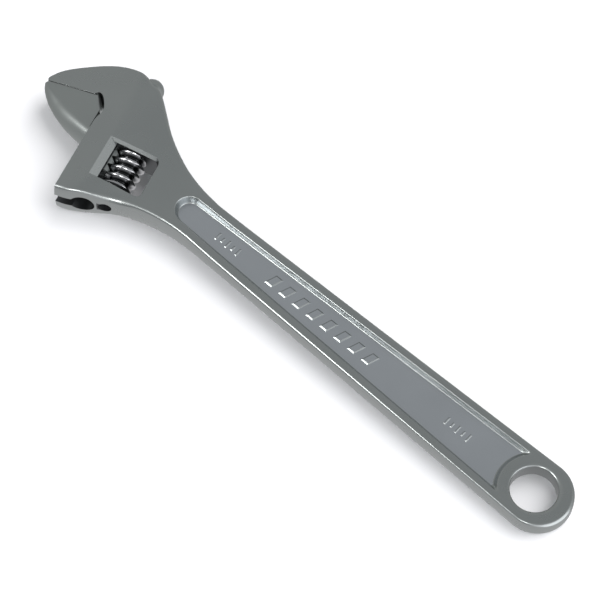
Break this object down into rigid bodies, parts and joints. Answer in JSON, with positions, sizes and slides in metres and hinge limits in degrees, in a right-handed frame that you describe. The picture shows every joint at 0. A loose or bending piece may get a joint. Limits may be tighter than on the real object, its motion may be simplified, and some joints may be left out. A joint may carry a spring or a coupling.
{
  "type": "adjustable wrench",
  "caption": "Adjustable wrench with a worm-driven sliding jaw, angled jaws, a recessed tapering handle and a round hanging hole.",
  "frame": {"origin": "centre of the hanging hole at mid thickness of the handle end", "axes": "+X along the handle towards the head, +Y towards the side on which the movable jaw opens, +Z through the thickness"},
  "size_m": [0.4651, 0.1126, 0.032],
  "materials": {
    "body_steel": "satin chrome plate",
    "jaw_steel": "satin chrome plate",
    "worm_steel": "polished",
    "pin_steel": "oiled dark steel",
    "spring_steel": "drawn wire"
  },
  "bodies": {
    "wrench": {"body": "body_steel", "worm_pin": "pin_steel", "worm_spring": "spring_steel"},
    "jaw": {"movable_jaw": "jaw_steel"},
    "knurl": {"worm": "worm_steel"}
  },
  "joints": [
    {"name": "jaw_slide", "type": "slide", "parent": "wrench", "child": "jaw", "axis": [-0.2756, 0.9613, 0], "range_m": [0, 0.053]},
    {"name": "worm_spin", "type": "hinge", "parent": "wrench", "child": "knurl", "pos_m": [0.35033, 0.00798, 0], "axis": [-0.2756, 0.9613, 0], "range_deg": [-2940, 2]}
  ],
  "couplings": [
    {"joint": "worm_spin", "follows": "jaw_slide", "rad_per_m": -966.64}
  ]
}
